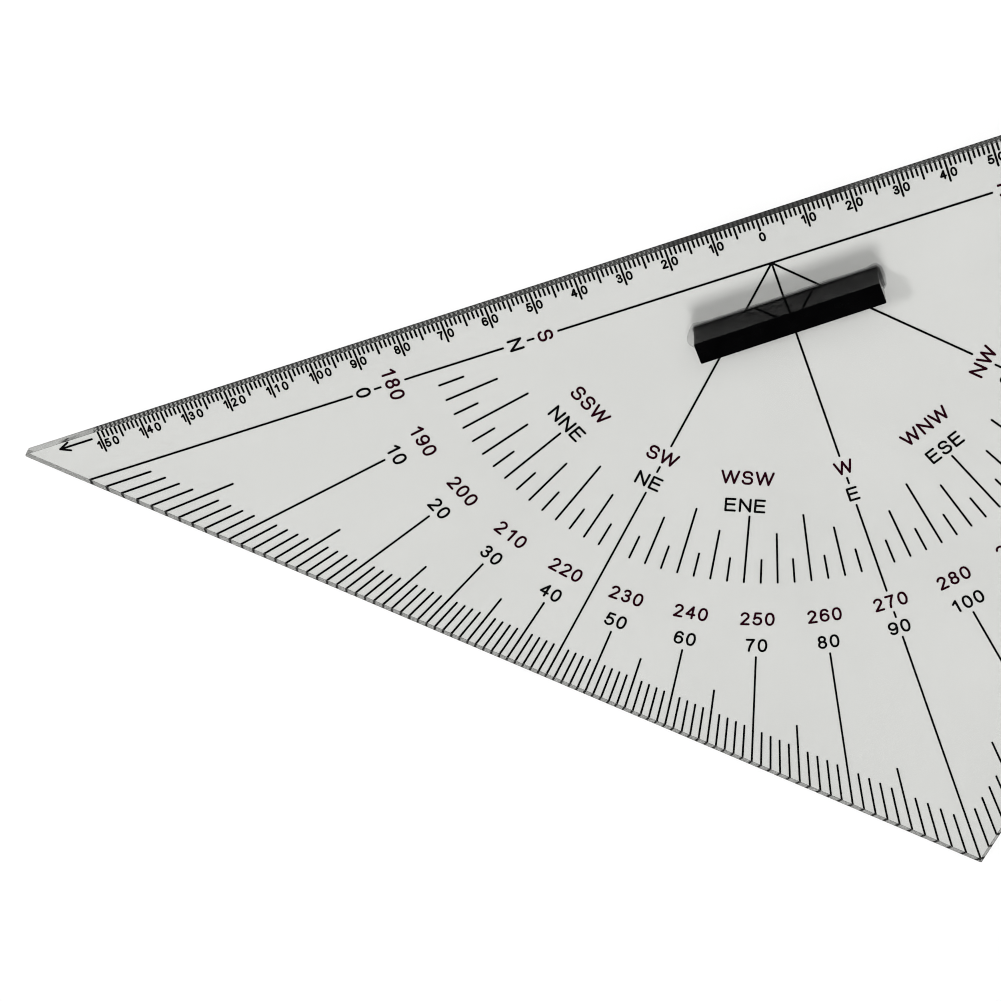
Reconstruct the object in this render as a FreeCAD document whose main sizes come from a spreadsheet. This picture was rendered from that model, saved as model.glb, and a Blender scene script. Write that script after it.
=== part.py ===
import FreeCAD, Part
import math
import os
import Sketcher
from FreeCAD import Vector, Placement, Rotation

# Nautical protractor triangle: a clear 45-45-90 acrylic plate with graduations
# engraved in its underside and filled with paint, and a black grip bar cemented
# on its top face.
#
# Row frame, in millimetres: the origin is the protractor's centre mark on the
# underside, +X along the hypotenuse, +Y towards the hypotenuse, +Z up.

doc = FreeCAD.newDocument("protractor_triangle")

# ---------------------------------------------------------------------------
# Driving dimensions
# ---------------------------------------------------------------------------
SIZES = [
    # the plate
    ("hypotenuse_length", 334.5, "sharp corner to sharp corner, along the ruling edge"),
    ("centre_inset", 11.0, "ruling edge to the protractor's centre"),
    ("plate_thickness", 3.0, "acrylic sheet"),
    ("tip_radius", 0.4, "the two 45 degree tips, in plan"),
    ("apex_radius", 0.4, "the right-angled corner, in plan"),
    ("edge_break", 0.15, "chamfer round the top face"),
    # engraving
    ("groove_depth", 0.1, "depth of every engraved and filled mark"),
    ("edge_margin", 0.06, "marks stop this far short of a cut edge"),
    ("line_width", 0.45, "degree, compass and bearing lines"),
    ("scale_line_width", 0.45, "millimetre graduations"),
    ("letter_stroke", 0.50, "stroke of the large figures and letters"),
    ("letter_height", 3.3, "overall height of the large figures and letters"),
    ("figure_stroke", 0.41, "stroke of the millimetre figures"),
    ("figure_height", 2.05, "overall height of the millimetre figures"),
    # millimetre scale, lengths inwards from the ruling edge
    ("scale_half_range", 150.0, "the scale runs this far each way from zero"),
    ("unit_tick_reach", 2.65, "1 mm graduations"),
    ("five_tick_reach", 3.75, "5 mm graduations"),
    ("ten_tick_reach", 5.95, "10 mm graduations"),
    ("zero_tick_reach", 3.55, "the zero graduation, which has its figure below it"),
    ("figure_centre_inset", 4.0, "ruling edge to the middle of the figures"),
    ("zero_figure_inset", 4.85, "ruling edge to the middle of the zero"),
    ("figure_pitch", 1.9, "spacing of the figures to the right of a graduation"),
    ("figure_gap", 0.42, "graduation's centreline to the figure beside it"),
    # degree graduations, depths square to the leg edges
    ("degree_tick_depth", 7.9, "1 degree graduations"),
    ("five_degree_depth", 13.1, "5 degree graduations"),
    ("degree_line_start", 94.4, "inner end of the 10 degree lines, from the centre"),
    ("figure_circle_outer", 91.6, "0 to 180 figures"),
    ("figure_circle_inner", 84.85, "180 to 360 figures"),
    # compass rose, radii from the centre
    ("rose_radius", 75.9, "outer ends of the compass graduations"),
    ("rose_short_end", 69.8, "quarter points"),
    ("rose_medium_end", 63.4, "half points"),
    ("rose_long_end", 59.2, "points"),
    ("letter_circle_inner", 50.1, "inner ring of compass letters"),
    ("letter_circle_outer", 56.8, "outer ring of compass letters"),
    # gaps that the bearing lines leave round the letters and figures
    ("gap_a_start", 47.4, ""),
    ("gap_a_dash_start", 52.5, ""),
    ("gap_a_dash_end", 54.3, ""),
    ("gap_a_end", 59.4, ""),
    ("gap_b_start", 82.2, ""),
    ("gap_b_dash_start", 87.4, ""),
    ("gap_b_dash_end", 89.2, ""),
    ("gap_b_end", 94.0, ""),
    # arrows at the tips
    ("arrow_tail_offset", 151.9, "from the centre, along the ruling edge"),
    ("arrow_head_offset", 159.5, ""),
    ("arrow_inset", 2.1, "ruling edge to the arrow's shaft"),
    ("arrow_barb_run", 2.2, ""),
    ("arrow_barb_rise", 1.0, ""),
    # grip bar
    ("handle_length", 40.2, "sawn from 5 mm sheet, 4.7 mm real thickness"),
    ("handle_width", 4.7, ""),
    ("handle_height", 9.0, ""),
    ("handle_front_offset", 7.4, "protractor's centre to the bar's front wall"),
    ("handle_side_offset", 0.4, "the bar's middle, to the right of the centre"),
    ("handle_skew", 1.0, "degrees off parallel with the ruling edge"),
    ("handle_corner_radius", 0.3, "upright corners"),
    ("handle_edge_break", 0.15, "chamfer round the bar's top"),
    ("bond_thickness", 0.1, "cement between bar and plate"),
    ("bond_margin", 0.8, "cement squeezed out round the bar"),
]

sheet = doc.addObject("Spreadsheet::Sheet", "Sizes")
for row, (alias, value, note) in enumerate(SIZES, start=1):
    sheet.set("A%d" % row, alias)
    sheet.set("B%d" % row, str(value))
    sheet.set("C%d" % row, note)
    sheet.setAlias("B%d" % row, alias)
doc.recompute()


def size(alias):
    return float(sheet.get(alias))


# ---------------------------------------------------------------------------
# Plate blank: sketch, pad, rounded corners, broken top edge
# ---------------------------------------------------------------------------
def new_body(name):
    body = doc.addObject("PartDesign::Body", name)
    body.Label = name
    return body


def plane_of(body, role):
    for item in body.Origin.OriginFeatures:
        if item.Role == role:
            return item
    raise RuntimeError(role)


def sketch_on_xy(body, name):
    sketch = body.newObject("Sketcher::SketchObject", name)
    sketch.AttachmentSupport = [(plane_of(body, "XY_Plane"), "")]
    sketch.MapMode = "FlatFace"
    return sketch


def edges_where(shape, test):
    return ["Edge%d" % (i + 1) for i, edge in enumerate(shape.Edges) if test(edge)]


def is_upright(edge):
    a, b = edge.Vertexes[0].Point, edge.Vertexes[-1].Point
    return abs(a.x - b.x) < 1e-6 and abs(a.y - b.y) < 1e-6 and abs(a.z - b.z) > 1e-3


blank = new_body("plate_blank")
outline = sketch_on_xy(blank, "plate_outline")
half = size("hypotenuse_length") / 2
inset = size("centre_inset")
left_tip, right_tip, apex = (
    Vector(-half, inset, 0),
    Vector(half, inset, 0),
    Vector(0, inset - half, 0),
)
outline.addGeometry(Part.LineSegment(left_tip, right_tip), False)
outline.addGeometry(Part.LineSegment(right_tip, apex), False)
outline.addGeometry(Part.LineSegment(apex, left_tip), False)
for pair in ((0, 1), (1, 2), (2, 0)):
    outline.addConstraint(Sketcher.Constraint("Coincident", pair[0], 2, pair[1], 1))
outline.addConstraint(Sketcher.Constraint("Symmetric", 0, 1, 0, 2, -2))
outline.addConstraint(Sketcher.Constraint("PointOnObject", 1, 2, -2))
outline.addConstraint(Sketcher.Constraint("Perpendicular", 1, 2))
n = outline.addConstraint(Sketcher.Constraint("DistanceX", 0, 1, 0, 2, 2 * half))
outline.renameConstraint(n, "hypotenuse")
outline.setExpression("Constraints.hypotenuse", "Sizes.hypotenuse_length")
n = outline.addConstraint(Sketcher.Constraint("DistanceY", -1, 1, 0, 1, inset))
outline.renameConstraint(n, "inset")
outline.setExpression("Constraints.inset", "Sizes.centre_inset")
sheet_pad = blank.newObject("PartDesign::Pad", "plate_pad")
sheet_pad.Profile = outline
sheet_pad.setExpression("Length", "Sizes.plate_thickness")
doc.recompute()

tips = blank.newObject("PartDesign::Fillet", "tip_rounding")
tips.Base = (
    sheet_pad,
    edges_where(
        sheet_pad.Shape,
        lambda e: is_upright(e) and abs(e.Vertexes[0].Point.x) > half / 2,
    ),
)
tips.setExpression("Radius", "Sizes.tip_radius")
doc.recompute()
corner = blank.newObject("PartDesign::Fillet", "apex_rounding")
corner.Base = (
    tips,
    edges_where(
        tips.Shape,
        lambda e: is_upright(e) and abs(e.Vertexes[0].Point.x) < 1e-6,
    ),
)
corner.setExpression("Radius", "Sizes.apex_radius")
doc.recompute()
broken = blank.newObject("PartDesign::Chamfer", "top_edge_break")
broken.Base = (
    corner,
    edges_where(
        corner.Shape,
        lambda e: e.BoundBox.ZMin > size("plate_thickness") - 1e-6,
    ),
)
broken.setExpression("Size", "Sizes.edge_break")
doc.recompute()

# ---------------------------------------------------------------------------
# Engraved strokes: every mark is a constant-width stroke with round ends
# ---------------------------------------------------------------------------
def unit(v):
    return v.multiply(1.0 / v.Length) if v.Length else v


def left_of(v):
    return Vector(-v.y, v.x, 0)


def line_piece(a, b):
    d = unit(b - a)
    return {"kind": "line", "a": a, "b": b, "da": d, "db": d}


def arc_piece(centre, radius, start, end):
    """Arc from angle start to angle end, in degrees; it turns left when end > start."""
    s, e = math.radians(start), math.radians(end)
    turn = 1 if e > s else -1
    at = lambda t: centre + Vector(math.cos(t), math.sin(t), 0) * radius
    heading = lambda t: Vector(-math.sin(t), math.cos(t), 0) * turn
    return {
        "kind": "arc", "c": centre, "r": radius, "s": s, "e": e, "turn": turn,
        "a": at(s), "b": at(e), "da": heading(s), "db": heading(e),
    }


def tangent_arc(a, heading, b):
    """Arc that leaves a along heading and ends at b."""
    chord = b - a
    side = left_of(heading)
    across = chord.dot(side)
    if abs(across) < 1e-9:
        return line_piece(a, b)
    radius = chord.Length ** 2 / (2 * across)
    centre = a + side * radius
    s = math.atan2(a.y - centre.y, a.x - centre.x)
    e = math.atan2(b.y - centre.y, b.x - centre.x)
    turn = 1 if radius > 0 else -1
    while turn * (e - s) <= 0:
        e += turn * 2 * math.pi
    return arc_piece(centre, abs(radius), math.degrees(s), math.degrees(e))


def offset_piece(piece, distance):
    """The piece moved to its left by distance, as (edge, start, end)."""
    if piece["kind"] == "line":
        shift = left_of(piece["da"]) * distance
        return ("line", piece["a"] + shift, piece["b"] + shift, None)
    radius = piece["r"] - piece["turn"] * distance
    at = lambda t: piece["c"] + Vector(math.cos(t), math.sin(t), 0) * radius
    return ("arc", at(piece["s"]), at(piece["e"]), at((piece["s"] + piece["e"]) / 2))


def meet(p, d, q, e):
    """Where the line through p along d crosses the line through q along e."""
    cross = d.x * e.y - d.y * e.x
    t = ((q.x - p.x) * e.y - (q.y - p.y) * e.x) / cross
    return p + d * t


def one_side(pieces, distance):
    """Edges of one side of a stroke, trimmed or rounded at its corners."""
    runs = [list(offset_piece(p, distance)) for p in pieces]
    out = []
    for i, run in enumerate(runs):
        if i:
            before, here = pieces[i - 1], pieces[i]
            bend = before["db"].x * here["da"].y - before["db"].y * here["da"].x
            if abs(bend) < 0.03:
                run[1] = out[-1][2]
            else:
                if bend * distance > 0:
                    point = meet(out[-1][2], before["db"], run[1], here["da"])
                    out[-1][2] = point
                    run[1] = point
                else:
                    middle = unit(left_of(before["db"]) + left_of(here["da"]))
                    out.append(["arc", out[-1][2], run[1], here["a"] + middle * distance])
        out.append(run)
    return out


def edge_of(kind, a, b, mid):
    if kind == "line":
        return Part.LineSegment(a, b).toShape()
    return Part.Arc(a, mid, b).toShape()


def stroke_face(pieces, width):
    """Face of an open stroke with round ends."""
    r = width / 2
    left = one_side(pieces, r)
    right = one_side(pieces, -r)
    last, first = pieces[-1], pieces[0]
    # the trimmed inside of a corner starts where the run before it now ends
    chain = []
    for kind, a, b, mid in left:
        chain.append((kind, a, b, mid))
    chain.append(("arc", left[-1][2], right[-1][2], last["b"] + last["db"] * r))
    for kind, a, b, mid in reversed(right):
        chain.append((kind, b, a, mid))
    chain.append(("arc", right[0][1], left[0][1], first["a"] - first["da"] * r))
    return Part.Face(Part.Wire([edge_of(*c) for c in chain if (c[1] - c[2]).Length > 1e-7]))


def disc_face(pieces, distance):
    """Face inside a closed, smooth stroke's edge; negative distances are outside it."""
    runs = [offset_piece(p, distance) for p in reversed(pieces)]
    return Part.Face(Part.Wire([edge_of(kind, b, a, mid) for kind, a, b, mid in runs]))


def chain(*steps):
    """Pieces of a stroke from steps: M start, L line, A arc, T tangent arc."""
    pieces, at = [], None
    for step in steps:
        code, args = step[0], step[1:]
        if code == "M":
            at = Vector(args[0], args[1], 0)
            continue
        if code == "L":
            piece = line_piece(at, Vector(args[0], args[1], 0))
        elif code == "A":
            piece = arc_piece(Vector(args[0], args[1], 0), *args[2:])
        else:
            piece = tangent_arc(at, pieces[-1]["db"], Vector(args[0], args[1], 0))
        pieces.append(piece)
        at = piece["b"]
    return pieces


def oval(cx, cy, a, b, r):
    """Four-centre oval: half axes a and b, end radius r."""
    big = (a * a + (b - r) ** 2 - r * r) / (2 * (a - r))
    lean = math.degrees(math.atan2(b - r, big - a))
    return [
        arc_piece(Vector(cx - (big - a), cy, 0), big, -lean, lean),
        arc_piece(Vector(cx, cy + b - r, 0), r, lean, 180 - lean),
        arc_piece(Vector(cx + (big - a), cy, 0), big, 180 - lean, 180 + lean),
        arc_piece(Vector(cx, cy - (b - r), 0), r, 180 + lean, 360 - lean),
    ]


def circle(cx, cy, r):
    c = Vector(cx, cy, 0)
    return [arc_piece(c, r, 0, 180), arc_piece(c, r, 180, 360)]


# Stroke centrelines of the figures and letters, for a centreline height of 1.
# Each entry: centreline width, advance to the next character, open strokes, rings.
TURN = lambda pts, w: [(w - x, 1 - y) for x, y in pts]
SIX_TAIL = chain(("M", 0, 0), ("A", 0.32, 0.735, 0.265, 22, 160), ("T", 0.012, 0.34))
NINE_TAIL = chain(("M", 0, 0), ("A", 0.28, 0.265, 0.265, 202, 340), ("T", 0.588, 0.66))
GLYPHS = {
    "0": (0.60, [], [oval(0.30, 0.5, 0.30, 0.5, 0.245)]),
    "1": (0.36, [chain(("M", 0.02, 0.77), ("L", 0.30, 1.0), ("L", 0.30, 0.0))], []),
    "2": (0.60, [chain(("M", 0, 0), ("A", 0.30, 0.73, 0.27, 165, -41.2),
                       ("L", 0.005, 0.0), ("L", 0.60, 0.0))], []),
    "3": (0.58, [chain(("M", 0, 0), ("A", 0.285, 0.765, 0.235, 165, -90), ("L", 0.22, 0.53)),
                 chain(("M", 0.22, 0.545), ("L", 0.285, 0.545), ("A", 0.285, 0.2725, 0.2725, 90, -165))], []),
    "4": (0.62, [chain(("M", 0.43, 0.98), ("L", 0.0, 0.31), ("L", 0.62, 0.31)),
                 chain(("M", 0.45, 1.0), ("L", 0.45, 0.0))], []),
    "5": (0.60, [chain(("M", 0.55, 1.0), ("L", 0.13, 1.0), ("L", 0.055, 0.50)),
                 chain(("M", 0, 0), ("A", 0.285, 0.31, 0.31, 140, -160))], []),
    "6": (0.60, [SIX_TAIL], [circle(0.30, 0.31, 0.295)]),
    "7": (0.58, [chain(("M", 0.0, 1.0), ("L", 0.56, 1.0), ("L", 0.44, 0.80), ("T", 0.19, 0.0))], []),
    "8": (0.60, [], [circle(0.30, 0.755, 0.24), circle(0.30, 0.27, 0.275)]),
    "9": (0.60, [NINE_TAIL], [circle(0.30, 0.69, 0.295)]),
    "N": (0.78, [chain(("M", 0, 0), ("L", 0, 1), ("L", 0.78, 0), ("L", 0.78, 1))], []),
    "E": (0.72, [chain(("M", 0.70, 1), ("L", 0, 1), ("L", 0, 0), ("L", 0.72, 0)),
                 chain(("M", 0.02, 0.53), ("L", 0.66, 0.53))], []),
    "S": (0.78, [chain(("M", 0, 0), ("A", 0.45, 0.735, 0.265, 8, 90), ("L", 0.32, 1.0),
                       ("A", 0.32, 0.76, 0.24, 90, 270), ("L", 0.48, 0.52),
                       ("A", 0.48, 0.26, 0.26, 90, -90), ("L", 0.30, 0.0),
                       ("A", 0.30, 0.27, 0.27, -90, -172))], []),
    "W": (1.28, [chain(("M", 0, 1), ("L", 0.32, 0), ("L", 0.64, 1), ("L", 0.96, 0), ("L", 1.28, 1))], []),
}
# advance widths, in overall letter heights
ADVANCE = {"N": 1.008, "E": 0.932, "S": 0.932, "W": 1.318}
for digit in "0123456789":
    ADVANCE[digit] = 0.828


def scaled(pieces, k):
    out = []
    for p in pieces:
        if p["kind"] == "line":
            out.append(line_piece(p["a"] * k, p["b"] * k))
        else:
            out.append(arc_piece(p["c"] * k, p["r"] * k, math.degrees(p["s"]), math.degrees(p["e"])))
    return out


def glyph_face(character, height, stroke):
    """Face of a character, its box centred on the origin, its top towards +Y."""
    width, strokes, rings = GLYPHS[character]
    k = height - stroke
    faces = [disc_face(scaled(r, k), -stroke / 2) for r in rings]
    faces += [stroke_face(scaled(s, k), stroke) for s in strokes]
    face = faces[0] if len(faces) == 1 else faces[0].fuse(faces[1:]).removeSplitter()
    for r in rings:
        face = face.cut(disc_face(scaled(r, k), stroke / 2))
    box = face.BoundBox
    face = face.copy()
    face.translate(Vector(-(box.XMin + box.XMax) / 2, -height / 2 + stroke / 2, 0))
    return face


def groove(face):
    """Solid fill of an engraved face: from the underside up into the plate."""
    return face.extrude(Vector(0, 0, size("groove_depth")))


def bar(a, b, width):
    return stroke_face([line_piece(a, b)], width)


LETTERS = {}


def letter_solid(character, style):
    key = (character, style)
    if key not in LETTERS:
        if style == "large":
            face = glyph_face(character, size("letter_height"), size("letter_stroke"))
        else:
            face = glyph_face(character, size("figure_height"), size("figure_stroke"))
        LETTERS[key] = [groove(f) for f in face.Faces]
        if len(LETTERS[key]) != 1 or not LETTERS[key][0].isValid():
            raise RuntimeError("character %s is not one sound solid" % character)
    return LETTERS[key][0]


def placed(solid, x, y, degrees):
    copy = solid.copy()
    copy.Placement = Placement(Vector(x, y, 0), Rotation(Vector(0, 0, 1), degrees))
    return copy


def word_solids(text, radius, bearing, slip=0.0):
    """A word on a circle round the centre, its top towards the centre.

    bearing is the angle of the plate's own degree scale: 0 lies to the left,
    90 at the apex and 180 to the right. slip moves the word along itself.
    """
    height = size("letter_height")
    angle = math.radians(180 + bearing)
    middle = Vector(math.cos(angle), math.sin(angle), 0) * radius
    turn = bearing - 90
    along = Vector(math.cos(math.radians(turn)), math.sin(math.radians(turn)), 0)
    total = sum(ADVANCE[c] for c in text) * height
    at = slip - total / 2
    out = []
    for c in text:
        at += ADVANCE[c] * height / 2
        spot = middle + along * at
        out.append(placed(letter_solid(c, "large"), spot.x, spot.y, turn))
        at += ADVANCE[c] * height / 2
    return out


def on_ray(bearing, radius):
    angle = math.radians(180 + bearing)
    return Vector(math.cos(angle) * radius, math.sin(angle) * radius, 0)


def leg_radius(bearing, depth):
    """Distance from the centre, along a bearing, to a line depth inside the leg edge."""
    t = math.radians(bearing if bearing <= 90 else 180 - bearing)
    reach = half - inset
    return (reach - depth * math.sqrt(2)) / (math.cos(t) + math.sin(t))


def ray_bar(bearing, r0, r1, width):
    """Line along a bearing whose round ends reach r0 and r1."""
    return bar(on_ray(bearing, r0 + width / 2), on_ray(bearing, r1 - width / 2), width)


def edge_bar(inner, heading, width, normal, reach):
    """Line with a round inner end that runs out along a cut edge.

    inner is the middle of the round end, and the other end lies on the line
    whose points have normal . point = reach.
    """
    side = left_of(heading) * (width / 2)
    near_a, near_b = inner + side, inner - side
    far_a, far_b = (p + heading * ((reach - p.dot(normal)) / heading.dot(normal)) for p in (near_a, near_b))
    round_end = Part.Arc(near_a, inner - heading * (width / 2), near_b).toShape()
    sides = [Part.makeLine(near_b, far_b), Part.makeLine(far_b, far_a), Part.makeLine(far_a, near_a)]
    face = Part.Face(Part.Wire([round_end] + sides))
    if face.normalAt(0, 0).z < 0:
        face.reverse()
    return face


def ray_to_leg(bearing, r0, width):
    """Line along a bearing from r0 out to the leg it meets."""
    heading = unit(on_ray(bearing, 1))
    normal = unit(Vector(-1 if bearing < 90 else 1, -1, 0))
    reach = (half - inset) / math.sqrt(2) - size("edge_margin")
    return edge_bar(on_ray(bearing, r0 + width / 2), heading, width, normal, reach)


nodes = {}


def add_marks(name, solids):
    feature = doc.addObject("Part::Feature", name)
    feature.Label = name
    feature.Shape = Part.makeCompound(solids)
    feature.Placement = Placement(Vector(0, 0, 0), Rotation())
    nodes[name] = feature
    return feature


# ---------------------------------------------------------------------------
# Millimetre scale along the ruling edge
# ---------------------------------------------------------------------------
w = size("scale_line_width")
top = inset - size("edge_margin")


def scale_tick(x, reach):
    return groove(edge_bar(Vector(x, inset - reach + w / 2, 0), Vector(0, 1, 0), w, Vector(0, 1, 0), top))


limit = int(size("scale_half_range"))
units, fives, tens = [], [], []
for mm in range(-limit, limit + 1):
    if mm == 0:
        tens.append(scale_tick(0, size("zero_tick_reach")))
    elif mm % 10 == 0:
        tens.append(scale_tick(mm, size("ten_tick_reach")))
    elif mm % 5 == 0:
        fives.append(scale_tick(mm, size("five_tick_reach")))
    else:
        units.append(scale_tick(mm, size("unit_tick_reach")))
add_marks("scale_ticks_1mm", units)
add_marks("scale_ticks_5mm", fives)
add_marks("scale_ticks_10mm", tens)


def figure_width(c):
    return letter_solid(c, "small").BoundBox.XLength


figures_left, figures_right = [], []
row_y = inset - size("figure_centre_inset")
for mm in range(-limit, limit + 1, 10):
    text = str(abs(mm))
    target = figures_left if mm < 0 else figures_right
    if mm == 0:
        target.append(placed(letter_solid("0", "small"), 0, inset - size("zero_figure_inset"), 0))
        continue
    # the first figure stands left of its graduation, the others right of it
    gap = size("figure_gap")
    target.append(placed(letter_solid(text[0], "small"), mm - gap - figure_width(text[0]) / 2, row_y, 0))
    x = mm + gap + figure_width("0") / 2
    for c in text[1:]:
        target.append(placed(letter_solid(c, "small"), x, row_y, 0))
        x += size("figure_pitch")
add_marks("scale_figures_left", figures_left)
add_marks("scale_figures_right", figures_right)

# ---------------------------------------------------------------------------
# Arrows that point out of the tips
# ---------------------------------------------------------------------------
arrows = []
for side in (-1, 1):
    tip = Vector(side * size("arrow_head_offset"), inset - size("arrow_inset"), 0)
    tail = Vector(side * size("arrow_tail_offset"), tip.y, 0)
    run, rise = size("arrow_barb_run"), size("arrow_barb_rise")
    barbs = stroke_face(
        [
            line_piece(Vector(tip.x - side * run, tip.y + rise, 0), tip),
            line_piece(tip, Vector(tip.x - side * run, tip.y - rise, 0)),
        ],
        size("line_width"),
    )
    shaft = bar(tail, Vector(tip.x - side * 0.06, tip.y, 0), size("line_width"))
    whole = barbs.fuse(shaft).removeSplitter()
    arrows += [groove(f) for f in whole.Faces]
add_marks("tip_arrows", arrows)

# ---------------------------------------------------------------------------
# Bearing lines through the centre
# ---------------------------------------------------------------------------
w = size("line_width")
ga, gb, gc, gd = (size("gap_a_start"), size("gap_a_dash_start"), size("gap_a_dash_end"), size("gap_a_end"))
ge, gf, gg, gh = (size("gap_b_start"), size("gap_b_dash_start"), size("gap_b_dash_end"), size("gap_b_end"))
rim = size("edge_margin")

centre_line = bar(on_ray(0, ga - w / 2), on_ray(180, ga - w / 2), w)
base = [centre_line]
for bearing in (0, 180):
    base += [ray_bar(bearing, gb, gc, w), ray_bar(bearing, gd, ge, w),
             ray_bar(bearing, gf, gg, w), ray_to_leg(bearing, gh, w)]
add_marks("base_line", [groove(f) for f in base])

# the right-angle line stops inside the rounded apex
apex_end = half - inset - size("apex_radius") * (math.sqrt(2) - 1) - rim
square_inner = ray_bar(90, -w / 2, ga, w).cut(centre_line)
square = list(square_inner.Faces)
square += [ray_bar(90, gb, gc, w), ray_bar(90, gd, ge, w), ray_bar(90, gf, gg, w),
           ray_bar(90, gh, apex_end, w)]
add_marks("right_angle_line", [groove(f) for f in square])

diagonals = []
for bearing in (45, 135):
    inner = ray_bar(bearing, -w / 2, ga, w).cut(centre_line).cut(square_inner)
    pieces = sorted(inner.Faces, key=lambda f: f.Area)
    diagonals.append(pieces[-1])
    diagonals += [ray_bar(bearing, gb, gc, w), ray_to_leg(bearing, gd, w)]
add_marks("diagonal_lines", [groove(f) for f in diagonals])

# ---------------------------------------------------------------------------
# Degree graduations along the two leg edges
# ---------------------------------------------------------------------------
ones, fives, tens = [], [], []
for degree in range(1, 180):
    if degree % 10 == 0:
        if degree != 90:
            tens.append(groove(ray_to_leg(degree, size("degree_line_start"), w)))
    elif degree % 5 == 0:
        if degree not in (45, 135):
            fives.append(groove(ray_to_leg(degree, leg_radius(degree, size("five_degree_depth")), w)))
    else:
        ones.append(groove(ray_to_leg(degree, leg_radius(degree, size("degree_tick_depth")), w)))
add_marks("degree_ticks_1", ones)
add_marks("degree_ticks_5", fives)
add_marks("degree_lines_10", tens)

outer_figures, inner_figures = [], []
for degree in range(0, 181, 10):
    outer_figures += word_solids(str(degree), size("figure_circle_outer"), degree)
    inner_figures += word_solids(str(degree + 180), size("figure_circle_inner"), degree)
add_marks("degree_figures_black", outer_figures)
add_marks("reciprocal_figures_red", inner_figures)

# ---------------------------------------------------------------------------
# Compass rose: quarter points, half points and points
# ---------------------------------------------------------------------------
short, medium, long = [], [], []
for k in range(1, 64):
    bearing = k * 2.8125
    if k in (16, 32, 48):
        continue
    if k % 4 == 0:
        long.append(groove(ray_bar(bearing, size("rose_long_end"), size("rose_radius"), w)))
    elif k % 2 == 0:
        medium.append(groove(ray_bar(bearing, size("rose_medium_end"), size("rose_radius"), w)))
    else:
        short.append(groove(ray_bar(bearing, size("rose_short_end"), size("rose_radius"), w)))
add_marks("compass_quarter_points", short)
add_marks("compass_half_points", medium)
add_marks("compass_points", long)

BLACK = ["N", "NNE", "NE", "ENE", "E", "ESE", "SE", "SSE", "S"]
RED = ["S", "SSW", "SW", "WSW", "W", "WNW", "NW", "NNW", "N"]
# the pairs of letters are not set quite on their bearings
SLIP = [0.1, -0.75, -0.68, -1.13, 0.1, 0.1, -0.55, 0.0, 0.0]
black_letters, red_letters = [], []
for i in range(9):
    black_letters += word_solids(BLACK[i], size("letter_circle_outer"), i * 22.5, SLIP[i])
    red_letters += word_solids(RED[i], size("letter_circle_inner"), i * 22.5, SLIP[i])
add_marks("compass_letters_black", black_letters)
add_marks("compass_letters_red", red_letters)

# ---------------------------------------------------------------------------
# The finished plate: the blank less every groove
# ---------------------------------------------------------------------------
grooves = doc.addObject("Part::Compound", "grooves")
grooves.Links = list(nodes.values())
plate = doc.addObject("Part::Cut", "plate")
plate.Label = "plate"
plate.Base = blank
plate.Tool = grooves
plate.Placement = Placement(Vector(0, 0, 0), Rotation())
doc.recompute()

# ---------------------------------------------------------------------------
# Cement line and grip bar
# ---------------------------------------------------------------------------
def rectangle_body(name, length_expr, width_expr, height_expr):
    """Body whose rectangle is centred on its own origin, with its base at z = 0."""
    body = new_body(name)
    sketch = sketch_on_xy(body, name + "_outline")
    corners = [Vector(-1, -1, 0), Vector(1, -1, 0), Vector(1, 1, 0), Vector(-1, 1, 0)]
    for i in range(4):
        sketch.addGeometry(Part.LineSegment(corners[i], corners[(i + 1) % 4]), False)
    for i in range(4):
        sketch.addConstraint(Sketcher.Constraint("Coincident", i, 2, (i + 1) % 4, 1))
    sketch.addConstraint(Sketcher.Constraint("Horizontal", 0))
    sketch.addConstraint(Sketcher.Constraint("Horizontal", 2))
    sketch.addConstraint(Sketcher.Constraint("Vertical", 1))
    sketch.addConstraint(Sketcher.Constraint("Vertical", 3))
    sketch.addConstraint(Sketcher.Constraint("Symmetric", 0, 1, 1, 2, -1, 1))
    n = sketch.addConstraint(Sketcher.Constraint("DistanceX", 0, 1, 0, 2, 2.0))
    sketch.renameConstraint(n, "long_side")
    sketch.setExpression("Constraints.long_side", length_expr)
    n = sketch.addConstraint(Sketcher.Constraint("DistanceY", 1, 1, 1, 2, 2.0))
    sketch.renameConstraint(n, "short_side")
    sketch.setExpression("Constraints.short_side", width_expr)
    pad = body.newObject("PartDesign::Pad", name + "_pad")
    pad.Profile = sketch
    pad.setExpression("Length", height_expr)
    doc.recompute()
    return body, pad


def stand_on_plate(body, height_expr):
    """Place a body's middle behind the centre mark, turned by the skew angle."""
    body.Placement = Placement(Vector(0, 0, 0), Rotation(Vector(0, 0, 1), 1))
    body.setExpression("Placement.Base.x", "Sizes.handle_side_offset")
    body.setExpression("Placement.Base.y", "-(Sizes.handle_front_offset + Sizes.handle_width / 2)")
    body.setExpression("Placement.Base.z", height_expr)
    body.setExpression("Placement.Rotation.Angle", "Sizes.handle_skew")


bond, bond_pad = rectangle_body(
    "cement_bond",
    "Sizes.handle_length + 2 * Sizes.bond_margin",
    "Sizes.handle_width + 2 * Sizes.bond_margin",
    "Sizes.bond_thickness",
)
bond_round = bond.newObject("PartDesign::Fillet", "cement_rounding")
bond_round.Base = (bond_pad, edges_where(bond_pad.Shape, is_upright))
bond_round.setExpression("Radius", "Sizes.handle_corner_radius + Sizes.bond_margin")
doc.recompute()
stand_on_plate(bond, "Sizes.plate_thickness")

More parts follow.
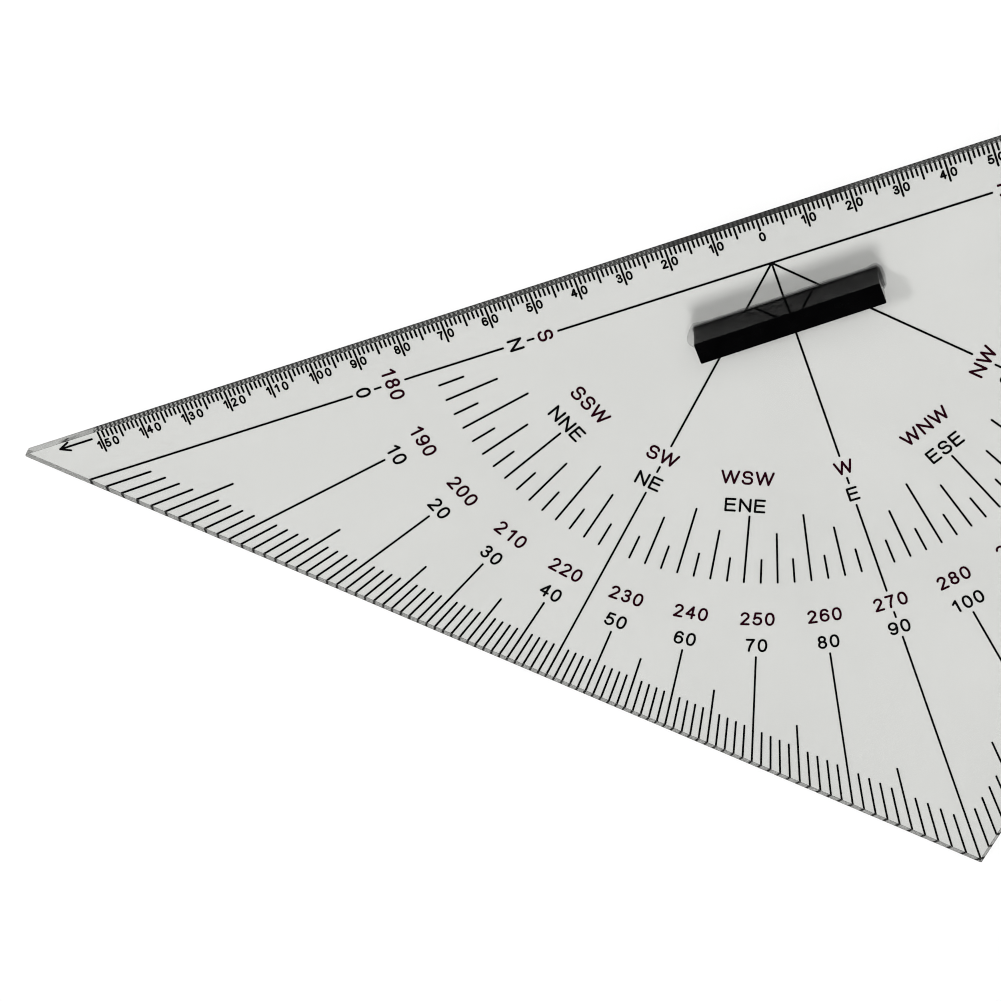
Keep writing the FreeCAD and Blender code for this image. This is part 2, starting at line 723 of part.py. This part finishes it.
handle, handle_pad = rectangle_body(
    "handle_bar", "Sizes.handle_length", "Sizes.handle_width", "Sizes.handle_height"
)
handle_round = handle.newObject("PartDesign::Fillet", "handle_corners")
handle_round.Base = (handle_pad, edges_where(handle_pad.Shape, is_upright))
handle_round.setExpression("Radius", "Sizes.handle_corner_radius")
doc.recompute()
handle_break = handle.newObject("PartDesign::Chamfer", "handle_edge_break")
handle_break.Base = (
    handle_round,
    edges_where(
        handle_round.Shape,
        lambda e: e.BoundBox.ZMin > size("handle_height") - 1e-6,
    ),
)
handle_break.setExpression("Size", "Sizes.handle_edge_break")
doc.recompute()
stand_on_plate(handle, "Sizes.plate_thickness + Sizes.bond_thickness")
doc.recompute()

nodes["plate"] = plate
nodes["cement_bond"] = bond
nodes["handle_bar"] = handle

# ---------------------------------------------------------------------------
# Checks, then one STEP file per node
# ---------------------------------------------------------------------------
for item in doc.Objects:
    for word in ("Invalid", "Error"):
        if word in item.State:
            raise RuntimeError("%s is %s" % (item.Label, item.State))
for name, item in nodes.items():
    shape = item.Shape
    if shape.isNull() or not shape.isValid() or not shape.Solids:
        raise RuntimeError("%s has no sound shape" % name)
    for solid in shape.Solids:
        if not solid.isClosed() or solid.Volume <= 0:
            raise RuntimeError("%s has an open solid" % name)

os.makedirs("parts", exist_ok=True)
for name, item in nodes.items():
    item.Shape.exportStep("parts/%s.step" % name)
    print(name, len(item.Shape.Solids), "solids", round(item.Shape.Volume, 4), "mm3")
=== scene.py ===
import math

import bmesh
import bpy
import numpy as np
from mathutils import Matrix, Quaternion, Vector


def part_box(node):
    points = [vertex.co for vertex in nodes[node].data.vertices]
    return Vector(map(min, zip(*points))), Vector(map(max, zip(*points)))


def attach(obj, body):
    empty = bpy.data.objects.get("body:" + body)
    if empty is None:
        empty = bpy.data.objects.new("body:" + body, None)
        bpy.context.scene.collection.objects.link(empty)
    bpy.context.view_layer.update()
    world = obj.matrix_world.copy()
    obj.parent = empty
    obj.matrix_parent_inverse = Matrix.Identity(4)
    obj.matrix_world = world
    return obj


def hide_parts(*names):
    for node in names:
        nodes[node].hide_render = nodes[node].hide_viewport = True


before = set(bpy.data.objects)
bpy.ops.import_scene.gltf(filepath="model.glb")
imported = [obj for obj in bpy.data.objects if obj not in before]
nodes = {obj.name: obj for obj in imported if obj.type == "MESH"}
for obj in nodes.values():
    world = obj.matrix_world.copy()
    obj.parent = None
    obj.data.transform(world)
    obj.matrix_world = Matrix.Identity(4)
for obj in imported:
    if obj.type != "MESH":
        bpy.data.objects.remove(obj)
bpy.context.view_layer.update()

# ---------------------------------------------------------------------------
# Sizes in metres, in the CAD row frame
# ---------------------------------------------------------------------------
HYPOTENUSE = 0.3345
INSET = 0.011
THICK = 0.003
TIP_R = 0.0004
APEX_R = 0.0004
EDGE = 0.00015
BAR_L, BAR_W, BAR_H = 0.0402, 0.0047, 0.009
SKEW = math.radians(1.0)
RIM = 0.0008

DOME, KEY, FILL, SIDE = 0.29, 21.0, 17.0, 10.5

low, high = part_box("handle_bar")
bar_mid = Vector(((low.x + high.x) / 2, (low.y + high.y) / 2, 0))
bar_foot, bar_top = low.z, high.z


# ---------------------------------------------------------------------------
# Small helpers
# ---------------------------------------------------------------------------
def mesh_object(name, verts, faces, smooth=False):
    me = bpy.data.meshes.new(name)
    me.from_pydata([tuple(v) for v in verts], [], faces)
    me.validate()
    bm = bmesh.new()
    bm.from_mesh(me)
    bmesh.ops.recalc_face_normals(bm, faces=bm.faces)
    bm.to_mesh(me)
    bm.free()
    for p in me.polygons:
        p.use_smooth = smooth
    ob = bpy.data.objects.new(name, me)
    bpy.context.scene.collection.objects.link(ob)
    return ob


def new_material(name):
    m = bpy.data.materials.new(name)
    m.use_nodes = True
    nt = m.node_tree
    for n in list(nt.nodes):
        nt.nodes.remove(n)
    out = nt.nodes.new("ShaderNodeOutputMaterial")
    bsdf = nt.nodes.new("ShaderNodeBsdfPrincipled")
    nt.links.new(bsdf.outputs["BSDF"], out.inputs["Surface"])
    return m, nt, bsdf


def coords(nt, scale=(1, 1, 1), turn=0.0):
    tc = nt.nodes.new("ShaderNodeTexCoord")
    mp = nt.nodes.new("ShaderNodeMapping")
    mp.inputs["Scale"].default_value = scale
    mp.inputs["Rotation"].default_value = (0, 0, turn)
    nt.links.new(tc.outputs["Object"], mp.inputs["Vector"])
    return mp.outputs["Vector"]


def noise(nt, vector, scale, detail=3.0, rough=0.5, distort=0.0):
    n = nt.nodes.new("ShaderNodeTexNoise")
    n.inputs["Scale"].default_value = scale
    n.inputs["Detail"].default_value = detail
    n.inputs["Roughness"].default_value = rough
    n.inputs["Distortion"].default_value = distort
    nt.links.new(vector, n.inputs["Vector"])
    return n.outputs["Fac"]


def ramp(nt, fac, stops):
    r = nt.nodes.new("ShaderNodeValToRGB")
    el = r.color_ramp.elements
    while len(el) < len(stops):
        el.new(0.5)
    for e, (pos, col) in zip(el, stops):
        e.position = pos
        e.color = (*col, 1) if len(col) == 3 else col
    nt.links.new(fac, r.inputs["Fac"])
    return r.outputs["Color"]


def spread(nt, fac, lo, hi, from_lo=0.0, from_hi=1.0):
    m = nt.nodes.new("ShaderNodeMapRange")
    m.inputs["From Min"].default_value = from_lo
    m.inputs["From Max"].default_value = from_hi
    m.inputs["To Min"].default_value = lo
    m.inputs["To Max"].default_value = hi
    nt.links.new(fac, m.inputs["Value"])
    return m.outputs["Result"]


def both(nt, a, b, op="MAXIMUM"):
    m = nt.nodes.new("ShaderNodeMath")
    m.operation = op
    nt.links.new(a, m.inputs[0])
    nt.links.new(b, m.inputs[1])
    return m.outputs["Value"]


def bump(nt, height, strength, distance):
    b = nt.nodes.new("ShaderNodeBump")
    b.inputs["Strength"].default_value = strength
    b.inputs["Distance"].default_value = distance
    nt.links.new(height, b.inputs["Height"])
    return b.outputs["Normal"]


def scratches(nt, scale, turn, width, seed_shift):
    """Sparse hairlines: the thin ridges of a stretched noise."""
    v = coords(nt, (scale, scale * 14, scale), turn)
    add = nt.nodes.new("ShaderNodeVectorMath")
    add.operation = "ADD"
    add.inputs[1].default_value = seed_shift
    nt.links.new(v, add.inputs[0])
    f = noise(nt, add.outputs["Vector"], 1.0, 1.0, 0.4, 0.6)
    off = nt.nodes.new("ShaderNodeMath")
    off.operation = "SUBTRACT"
    off.inputs[1].default_value = 0.5
    nt.links.new(f, off.inputs[0])
    a = nt.nodes.new("ShaderNodeMath")
    a.operation = "ABSOLUTE"
    nt.links.new(off.outputs["Value"], a.inputs[0])
    return spread(nt, a.outputs["Value"], 1.0, 0.0, 0.0, width)


# ---------------------------------------------------------------------------
# Materials
# ---------------------------------------------------------------------------
def acrylic_face():
    m, nt, b = new_material("clear_acrylic")
    cloud = noise(nt, coords(nt), 18.0, 3.0, 0.55)
    col = ramp(nt, cloud, [(0.3, (0.768, 0.774, 0.753)), (0.7, (0.790, 0.795, 0.774))])
    nt.links.new(col, b.inputs["Base Color"])
    hair = both(nt, scratches(nt, 26.0, 0.7, 0.006, (3.1, 0.0, 0.4)), scratches(nt, 31.0, -0.5, 0.005, (9.4, 2.0, 1.3)))
    nt.links.new(spread(nt, hair, 0.012, 0.10), b.inputs["Roughness"])
    b.inputs["Transmission Weight"].default_value = 1.0
    b.inputs["IOR"].default_value = 1.49
    wave = noise(nt, coords(nt), 9.0, 1.0, 0.4)
    nt.links.new(bump(nt, wave, 0.05, 0.001), b.inputs["Normal"])
    return m


def saw_grain(nt):
    """Fine lines that a saw leaves across the sheet, running up the edge."""
    return noise(nt, coords(nt, (1600, 1600, 160)), 1.0, 2.0, 0.6)


def acrylic_leg_edge():
    m, nt, b = new_material("acrylic_sawn_edge")
    cloud = noise(nt, coords(nt), 160.0, 4.0, 0.6)
    col = ramp(nt, cloud, [(0.3, (0.09, 0.092, 0.088)), (0.7, (0.15, 0.152, 0.146))])
    nt.links.new(col, b.inputs["Base Color"])
    saw = saw_grain(nt)
    nt.links.new(spread(nt, saw, 0.08, 0.18, 0.3, 0.7), b.inputs["Roughness"])
    b.inputs["Transmission Weight"].default_value = 0.33
    b.inputs["IOR"].default_value = 1.49
    nt.links.new(bump(nt, saw, 0.06, 0.0001), b.inputs["Normal"])
    return m


def acrylic_ruling_edge():
    """Sawn edge with painted reflections of the millimetre lines, the arrow and the black bar, painted shade along its
    underside and painted light towards the tips.
    """
    m, nt, b = new_material("acrylic_ruling_edge")
    cloud = noise(nt, coords(nt), 220.0, 4.0, 0.6)
    # two copies of the edge tone: the darker for the middle, the lighter for painted light towards the tips
    clear = ramp(nt, cloud, [(0.3, (0.15, 0.152, 0.147)), (0.7, (0.22, 0.223, 0.215))])
    pale = ramp(nt, cloud, [(0.3, (0.36, 0.365, 0.35)), (0.7, (0.44, 0.445, 0.43))])

    def across(slope):
        """Painted reflections of the millimetre lines: stripes a millimetre apart that lean along the edge."""
        sep = nt.nodes.new("ShaderNodeSeparateXYZ")
        nt.links.new(coords(nt, (1000, 1000, 1000)), sep.inputs[0])
        lean = nt.nodes.new("ShaderNodeMath")
        lean.operation = "MULTIPLY_ADD"
        lean.inputs[1].default_value = slope
        nt.links.new(sep.outputs["Z"], lean.inputs[0])
        nt.links.new(sep.outputs["X"], lean.inputs[2])
        fold = nt.nodes.new("ShaderNodeMath")
        fold.operation = "PINGPONG"
        fold.inputs[1].default_value = 0.5
        nt.links.new(lean.outputs["Value"], fold.inputs[0])
        return spread(nt, fold.outputs["Value"], 1.0, 0.0, 0.10, 0.24)

    sep = nt.nodes.new("ShaderNodeSeparateXYZ")
    nt.links.new(coords(nt, (1000, 1000, 1000)), sep.inputs[0])
    span = nt.nodes.new("ShaderNodeMath")
    span.operation = "ABSOLUTE"
    nt.links.new(sep.outputs["X"], span.inputs[0])
    away = span.outputs["Value"]
    ruled = spread(nt, away, 1.0, 0.0, 150.3, 150.6)
    # painted reflections of the millimetre lines, crossed, kept within the ruled span
    tick_reflections = both(nt, both(nt, across(0.36), across(-0.36)), ruled, "MULTIPLY")
    # painted shade along the underside of the edge, weaker towards the tips
    foot = both(nt, spread(nt, sep.outputs["Z"], 0.85, 0.0, 0.45, 1.0), spread(nt, away, 1.0, 0.25, 148.0, 156.0), "MULTIPLY")
    # painted reflection of the arrow, a little way up the edge near each tip
    arrow_reflection = both(nt, spread(nt, away, 0.0, 0.6, 153.0, 155.0), spread(nt, away, 1.0, 0.0, 157.5, 159.0), "MULTIPLY")
    arrow_reflection = both(nt, arrow_reflection, spread(nt, sep.outputs["Z"], 0.0, 1.0, 1.0, 1.8), "MULTIPLY")
    # painted light: the edge grows paler towards the tips
    tip_light_blend = nt.nodes.new("ShaderNodeMix")
    tip_light_blend.data_type = "RGBA"
    nt.links.new(both(nt, spread(nt, away, 0.0, 0.32, 50.0, 150.0), spread(nt, away, 0.0, 1.0, 149.0, 158.0)), tip_light_blend.inputs["Factor"])
    nt.links.new(clear, tip_light_blend.inputs["A"])
    nt.links.new(pale, tip_light_blend.inputs["B"])
    reflection_and_shade_mix = nt.nodes.new("ShaderNodeMix")
    reflection_and_shade_mix.data_type = "RGBA"
    nt.links.new(both(nt, both(nt, tick_reflections, foot), arrow_reflection), reflection_and_shade_mix.inputs["Factor"])
    nt.links.new(tip_light_blend.outputs["Result"], reflection_and_shade_mix.inputs["A"])
    # near-black: the colour of the painted reflections and painted shade
    reflection_and_shade_mix.inputs["B"].default_value = (0.004, 0.004, 0.004, 1)
    # painted reflection of the black bar seen through the sheet: near-black along the bar's own length
    bar_reflection = nt.nodes.new("ShaderNodeMix")
    bar_reflection.data_type = "RGBA"
    nt.links.new(spread(nt, away, 1.0, 0.0, 18.5, 22.5), bar_reflection.inputs["Factor"])
    nt.links.new(reflection_and_shade_mix.outputs["Result"], bar_reflection.inputs["A"])
    nt.links.new(ramp(nt, cloud, [(0.3, (0.0030, 0.0030, 0.0029)), (0.7, (0.0060, 0.0060, 0.0058))]), bar_reflection.inputs["B"])
    nt.links.new(bar_reflection.outputs["Result"], b.inputs["Base Color"])
    saw = saw_grain(nt)
    nt.links.new(spread(nt, saw, 0.10, 0.16, 0.3, 0.7), b.inputs["Roughness"])
    b.inputs["Transmission Weight"].default_value = 0.7
    b.inputs["IOR"].default_value = 1.08
    nt.links.new(bump(nt, saw, 0.03, 0.0001), b.inputs["Normal"])
    return m


def black_acrylic():
    m, nt, b = new_material("black_acrylic")
    cloud = noise(nt, coords(nt), 240.0, 3.0, 0.6)
    col = ramp(nt, cloud, [(0.3, (0.0008, 0.0008, 0.0009)), (0.7, (0.0016, 0.0016, 0.0018))])
    nt.links.new(col, b.inputs["Base Color"])
    hair = both(nt, scratches(nt, 120.0, 0.25, 0.010, (1.7, 5.0, 0.2)), scratches(nt, 90.0, 1.9, 0.008, (4.2, 1.0, 2.2)))
    smear = noise(nt, coords(nt), 90.0, 2.0, 0.5)
    nt.links.new(both(nt, spread(nt, hair, 0.01, 0.15), spread(nt, smear, 0.01, 0.04, 0.3, 0.7)), b.inputs["Roughness"])
    b.inputs["IOR"].default_value = 1.14
    nt.links.new(bump(nt, noise(nt, coords(nt), 140.0, 1.0, 0.4), 0.012, 0.0002), b.inputs["Normal"])
    return m


def cement(name, dark, light, solid):
    """Dried solvent cement: a dull see-through film, mottled where it is thicker. Where its tones are near-black, at
    the bar's foot, they are partly painted shade.
    """
    m, nt, b = new_material(name)
    n = noise(nt, coords(nt), 900.0, 3.0, 0.6)
    nt.links.new(ramp(nt, n, [(0.3, (dark, dark, dark)), (0.7, (light, light * 1.01, light * 0.98))]), b.inputs["Base Color"])
    nt.links.new(spread(nt, n, 0.25, 0.45), b.inputs["Roughness"])
    b.inputs["IOR"].default_value = 1.2
    b.inputs["Alpha"].default_value = solid
    nt.links.new(bump(nt, noise(nt, coords(nt), 1500.0, 2.0, 0.5), 0.2, 0.0001), b.inputs["Normal"])
    return m


def paint(name, dark, light):
    m, nt, b = new_material(name)
    n = noise(nt, coords(nt), 1400.0, 4.0, 0.65)
    nt.links.new(ramp(nt, n, [(0.3, dark), (0.7, light)]), b.inputs["Base Color"])
    nt.links.new(spread(nt, n, 0.45, 0.7, 0.3, 0.7), b.inputs["Roughness"])
    b.inputs["IOR"].default_value = 1.45
    b.inputs["Specular IOR Level"].default_value = 0.05
    nt.links.new(bump(nt, n, 0.15, 0.00003), b.inputs["Normal"])
    return m


FACE, SAWN, RULED = acrylic_face(), acrylic_leg_edge(), acrylic_ruling_edge()
# the two darker cements, at the bar's foot, are partly real cement and partly painted shade of the bar on the sheet
BLACK, CEMENT_AND_FOOT_SHADE = black_acrylic(), cement("clear_cement", 0.01, 0.03, 0.75)
THIN_CEMENT_AND_SHADE, SMEAR = cement("thin_cement_and_shade", 0.03, 0.08, 0.34), cement("cement_smear", 0.16, 0.28, 0.2)
INK = paint("black_paint", (0.0012, 0.0012, 0.0014), (0.0045, 0.0045, 0.005))
RED = paint("red_paint", (0.013, 0.0010, 0.0042), (0.020, 0.0016, 0.0062))

red_nodes = ("reciprocal_figures_red", "compass_letters_red")
for name, node in nodes.items():
    if name in ("plate", "handle_bar", "cement_bond"):
        continue
    for s in node.material_slots:
        s.link = "OBJECT"
        s.material = RED if name in red_nodes else INK


# ---------------------------------------------------------------------------
# Plate: rounded outline, square sawn edge, finely broken arrises
# ---------------------------------------------------------------------------
def outline(inward):
    """The plate's outline moved inwards, anticlockwise from the left tip."""
    half = HYPOTENUSE / 2
    corners = [
        (Vector((-half, INSET)), TIP_R),
        (Vector((0.0, INSET - half)), APEX_R),
        (Vector((half, INSET)), TIP_R),
    ]
    pts = []
    for i, (c, r) in enumerate(corners):
        a = (corners[i - 1][0] - c).normalized()
        b = (corners[(i + 1) % 3][0] - c).normalized()
        half_angle = math.acos(max(-1, min(1, a.dot(b)))) / 2
        centre = c + (a + b).normalized() * (r / math.sin(half_angle))
        t0 = c + a * (r / math.tan(half_angle)) - centre
        t1 = c + b * (r / math.tan(half_angle)) - centre
        s, e = math.atan2(t0.y, t0.x), math.atan2(t1.y, t1.x)
        while e < s:
            e += 2 * math.pi
        steps = 14
        for k in range(steps + 1):
            t = s + (e - s) * k / steps
            pts.append(centre + Vector((math.cos(t), math.sin(t))) * (r - inward))
    return pts


def plate_mesh():
    rings = [(0.00003, 0.0), (0.0, 0.00003)]
    for k in range(5):
        t = math.pi / 2 * k / 4
        rings.append((EDGE * (1 - math.cos(t)), THICK - EDGE + EDGE * math.sin(t)))
    verts, faces, walls = [], [], []
    count = len(outline(0))
    for inward, z in rings:
        verts += [Vector((p.x, p.y, z)) for p in outline(inward)]
    for r in range(len(rings) - 1):
        for i in range(count):
            j = (i + 1) % count
            faces.append((r * count + i, r * count + j, (r + 1) * count + j, (r + 1) * count + i))
    faces.append(tuple(reversed(range(count))))
    faces.append(tuple((len(rings) - 1) * count + i for i in range(count)))
    ob = mesh_object("plate_clear", verts, faces)
    ob.data.materials.append(FACE)
    ob.data.materials.append(SAWN)
    ob.data.materials.append(RULED)
    for p in ob.data.polygons:
        p.material_index = 0 if abs(p.normal.z) > 0.999 else 2 if p.normal.y > 0.5 else 1
    return ob


plate = plate_mesh()
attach(plate, "root")
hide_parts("plate")
plate.visible_shadow = False


# ---------------------------------------------------------------------------
# Grip bar: sawn from sheet, arrises just broken
# ---------------------------------------------------------------------------
def bar_mesh():
    bm = bmesh.new()
    bmesh.ops.create_cube(bm, size=1.0)
    for v in bm.verts:
        v.co = Vector((v.co.x * BAR_L, v.co.y * BAR_W, v.co.z * (bar_top - bar_foot)))
    upright = [e for e in bm.edges if abs(e.verts[0].co.z - e.verts[1].co.z) > 1e-4]
    bmesh.ops.bevel(bm, geom=upright, offset=0.0003, segments=5, profile=0.5, affect="EDGES")
    top = max(v.co.z for v in bm.verts)
    rim = [e for e in bm.edges if all(v.co.z > top - 1e-6 for v in e.verts) and len(e.link_faces) == 2
           and any(abs(f.normal.z) < 0.5 for f in e.link_faces)]
    bmesh.ops.bevel(bm, geom=rim, offset=0.00015, segments=4, profile=0.5, affect="EDGES")
    bmesh.ops.recalc_face_normals(bm, faces=bm.faces)
    me = bpy.data.meshes.new("grip_bar")
    bm.to_mesh(me)
    bm.free()
    ob = bpy.data.objects.new("grip_bar", me)
    bpy.context.scene.collection.objects.link(ob)
    turn = Matrix.Rotation(SKEW, 4, "Z")
    me.transform(Matrix.Translation((bar_mid.x, bar_mid.y, (bar_foot + bar_top) / 2)) @ turn)
    me.materials.append(BLACK)
    for p in me.polygons:
        p.use_smooth = False
    return ob


bar = bar_mesh()
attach(bar, "root")
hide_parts("handle_bar")


# ---------------------------------------------------------------------------
# Cement: a film under the bar with an uneven rim squeezed out round it
# ---------------------------------------------------------------------------
def cement_mesh():
    rng = np.random.default_rng(11)
    phase = rng.uniform(0, 2 * math.pi, 12)
    foot, top = THICK + 0.000003, bar_foot
    def rounded(margin, n=220):
        hx, hy, r = BAR_L / 2 + margin, BAR_W / 2 + margin, 0.0003 + max(margin, 0)
        sx, sy = hx - r, hy - r
        per = 4 * (sx + sy) + 2 * math.pi * r
        out = []
        for i in range(n):
            d = per * i / n
            segs = [(2 * sy, "L", (hx, -sy), (0, 1)), (math.pi * r / 2, "A", (sx, sy), 0.0),
                    (2 * sx, "L", (sx, hy), (-1, 0)), (math.pi * r / 2, "A", (-sx, sy), math.pi / 2),
                    (2 * sy, "L", (-hx, sy), (0, -1)), (math.pi * r / 2, "A", (-sx, -sy), math.pi),
                    (2 * sx, "L", (-sx, -hy), (1, 0)), (math.pi * r / 2, "A", (sx, -sy), 1.5 * math.pi)]
            for length, kind, p, q in segs:
                if d <= length:
                    break
                d -= length
            if kind == "L":
                out.append((Vector((p[0] + q[0] * d, p[1] + q[1] * d)), Vector((q[1], -q[0]))))
            else:
                t = q + d / r
                nrm = Vector((math.cos(t), math.sin(t)))
                out.append((Vector(p) + nrm * r, nrm))
        return out
    base = rounded(0.0)
    n = len(base)
    fillet, smear = [], []
    for i, (p, nrm) in enumerate(base):
        t = 2 * math.pi * i / n
        ripple = sum(0.05 * math.sin((k + 2) * t + phase[k]) for k in range(5))
        ripple += sum(0.02 * math.sin((9 + 5 * k) * t + phase[5 + k]) for k in range(5))
        left = math.exp(-(((p.x + BAR_L / 2) / 0.0016) ** 2)) * math.exp(-(((p.y + 0.0004) / 0.0021) ** 2))
        right = math.exp(-(((p.x - BAR_L / 2) / 0.0016) ** 2)) * math.exp(-(((p.y - 0.0010) / 0.0024) ** 2))
        fillet.append(RIM * min(1.0, 0.66 + ripple + 0.25 * right))
        smear.append(fillet[-1] + 0.00008 + (0.0017 * left + 0.0002 * right) * (1 + 0.9 * ripple))
    # reach outwards as a share of fillet or smear, then height as a share of the film
    profile = [("smear", 1.0, 0.0), ("smear", 0.98, 0.10), ("smear", 0.93, 0.17), ("fillet", 1.0, 0.20),
               ("fillet", 0.55, 0.28), ("fillet", 0.32, 0.44), ("fillet", 0.14, 0.76), ("fillet", 0.03, 1.0),
               ("inner", 1.0, 1.0)]
    verts, faces = [], []
    for kind, out, up in profile:
        for i, (p, nrm) in enumerate(base):
            reach = {"smear": smear[i], "fillet": fillet[i], "inner": -0.00018}[kind] * out
            q = p + nrm * reach
            verts.append(Vector((q.x, q.y, foot + (top - foot) * up)))
    for r in range(len(profile) - 1):
        for i in range(n):
            j = (i + 1) % n
            faces.append((r * n + i, r * n + j, (r + 1) * n + j, (r + 1) * n + i))
    faces.append(tuple(reversed(range(n))))
    faces.append(tuple((len(profile) - 1) * n + i for i in range(n)))
    ob = mesh_object("cement_rim", verts, faces, smooth=False)
    ob.data.transform(Matrix.Translation((bar_mid.x, bar_mid.y, 0)) @ Matrix.Rotation(SKEW, 4, "Z"))
    # slots 0 and 1, next to the bar, are dark cement with painted shade; slot 2 is the pale smear
    ob.data.materials.append(CEMENT_AND_FOOT_SHADE)
    ob.data.materials.append(THIN_CEMENT_AND_SHADE)
    ob.data.materials.append(SMEAR)
    for k, p in enumerate(ob.data.polygons):
        p.material_index = 2 if k < 3 * n or k == (len(profile) - 1) * n else 1 if k < 4 * n else 0
        p.use_smooth = k < (len(profile) - 2) * n
    return ob


rim = cement_mesh()
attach(rim, "root")
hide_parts("cement_bond")

# ---------------------------------------------------------------------------
# Floor, light, camera
# ---------------------------------------------------------------------------
floor = mesh_object(
    "floor",
    [(-6, -6, -0.00004), (6, -6, -0.00004), (6, 6, -0.00004), (-6, 6, -0.00004)],
    [(0, 1, 2, 3)],
)
m, nt, b = new_material("pale_floor")
grain = noise(nt, coords(nt), 40.0, 3.0, 0.5)
nt.links.new(ramp(nt, grain, [(0.3, (0.80, 0.80, 0.80)), (0.7, (0.82, 0.82, 0.82))]), b.inputs["Base Color"])
b.inputs["Roughness"].default_value = 0.9
b.inputs["Specular IOR Level"].default_value = 0.0
floor.data.materials.append(m)

# a wide pale dome with one dim part, high on the far side of the bar
DIM = Vector((-0.13, -0.39, 0.91)).normalized()
world = bpy.data.worlds.new("studio")
bpy.context.scene.world = world
world.use_nodes = True
nt = world.node_tree
for n in list(nt.nodes):
    nt.nodes.remove(n)
out = nt.nodes.new("ShaderNodeOutputWorld")
bg = nt.nodes.new("ShaderNodeBackground")
nt.links.new(bg.outputs["Background"], out.inputs["Surface"])
tc = nt.nodes.new("ShaderNodeTexCoord")
dot = nt.nodes.new("ShaderNodeVectorMath")
dot.operation = "DOT_PRODUCT"
dot.inputs[1].default_value = DIM
nt.links.new(tc.outputs["Generated"], dot.inputs[0])
nt.links.new(spread(nt, dot.outputs["Value"], DOME, 0.0, 0.86, 0.94), bg.inputs["Strength"])
bg.inputs["Color"].default_value = (1.0, 0.997, 0.99, 1)


def softbox(name, towards, distance, side, power):
    data = bpy.data.lights.new(name, "AREA")
    data.shape = "DISK"
    data.size = side
    data.energy = power
    ob = bpy.data.objects.new(name, data)
    bpy.context.scene.collection.objects.link(ob)
    way = Vector(towards).normalized()
    ob.location = way * distance
    ob.rotation_mode = "QUATERNION"
    ob.rotation_quaternion = way.to_track_quat("Z", "Y")
    ob.visible_glossy = False
    ob.visible_transmission = False
    return ob


softbox("key_softbox", (-0.065, -0.345, 0.935), 2.0, 0.56, KEY)
softbox("fill_softbox", (0.15, 0.45, 0.88), 2.0, 1.6, FILL)
softbox("side_softbox", (-0.35, 0.36, 0.87), 2.0, 0.30, SIDE)

cam_data = bpy.data.cameras.new("camera")
cam = bpy.data.objects.new("camera", cam_data)
bpy.context.scene.collection.objects.link(cam)
cam.location = (0.0528589, 0.2171378, 0.5470421)
cam.rotation_mode = "QUATERNION"
cam.rotation_quaternion = Quaternion((0.95774995, -0.22516001, 0.06791255, -0.16554723))
cam_data.sensor_width = 36.0
cam_data.lens = 101.25509
cam_data.clip_start = 0.01
cam_data.clip_end = 50.0
bpy.context.scene.camera = cam

paths = bpy.context.scene.cycles
paths.max_bounces = 20
paths.glossy_bounces = 10
paths.transmission_bounces = 16
paths.filter_width = 1.0

vs = bpy.context.scene.view_settings
vs.view_transform = "Standard"
vs.look = "None"
vs.exposure = 0.0
vs.gamma = 1.0
